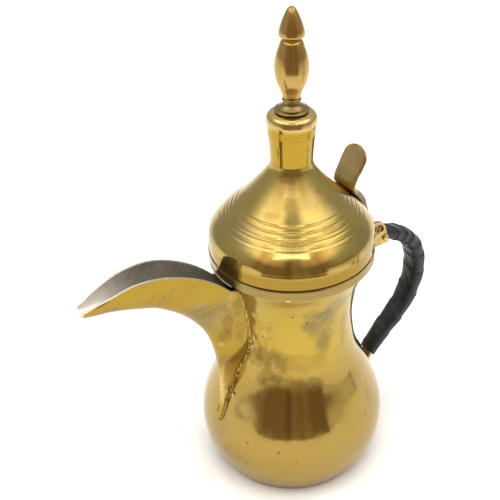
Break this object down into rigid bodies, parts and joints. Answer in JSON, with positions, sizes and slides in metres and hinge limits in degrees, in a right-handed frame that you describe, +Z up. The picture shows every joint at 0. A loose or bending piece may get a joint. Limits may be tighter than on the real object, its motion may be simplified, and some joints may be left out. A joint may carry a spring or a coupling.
{
  "type": "dallah coffee pot",
  "caption": "Brass coffee pot with a long open beak spout, waisted body, wrapped strap handle, and a hinged domed lid with a thumb lever and tall finial.",
  "frame": {"origin": "centre of the flat base, on the surface that the pot stands on", "axes": "+Z up along the pot's axis to the finial's tip; -X toward the spout's tip, +X toward the handle; Y across, with the hinge pin parallel to it"},
  "size_m": [0.2289, 0.1132, 0.2814],
  "materials": {
    "polished_brass": "polished, lightly tarnished in patches",
    "tarnished_brass": "dull, tarnished",
    "dull_brass": "unpolished sheet",
    "solder": "rough brazed fillet",
    "steel": "plain turned steel",
    "black_wrap": "black strip, creased, slightly glossy"
  },
  "bodies": {
    "pot": {"body_shell": "polished_brass", "foot_ring": "polished_brass", "base_plate": "dull_brass", "rim_band": "tarnished_brass", "spout": "polished_brass", "spout_seam_left": "solder", "spout_seam_right": "solder", "handle_bracket": "tarnished_brass", "handle_strap": "polished_brass", "handle_wrap": "black_wrap", "bracket_rivet": "polished_brass", "hinge_pin": "steel"},
    "lid": {"lid_dome": "polished_brass", "lid_collar": "dull_brass", "chimney_tube": "polished_brass", "chimney_cap": "polished_brass", "finial_washer": "polished_brass", "finial_ring": "polished_brass", "finial_bead": "polished_brass", "finial_spear": "polished_brass", "finial_rod": "steel", "finial_nut": "steel", "thumb_lever": "tarnished_brass"}
  },
  "joints": [
    {"name": "lid_hinge", "type": "hinge", "parent": "pot", "child": "lid", "pos_m": [0.057, 0, 0.139], "axis": [0, 1, 0], "range_deg": [0, 120]}
  ]
}
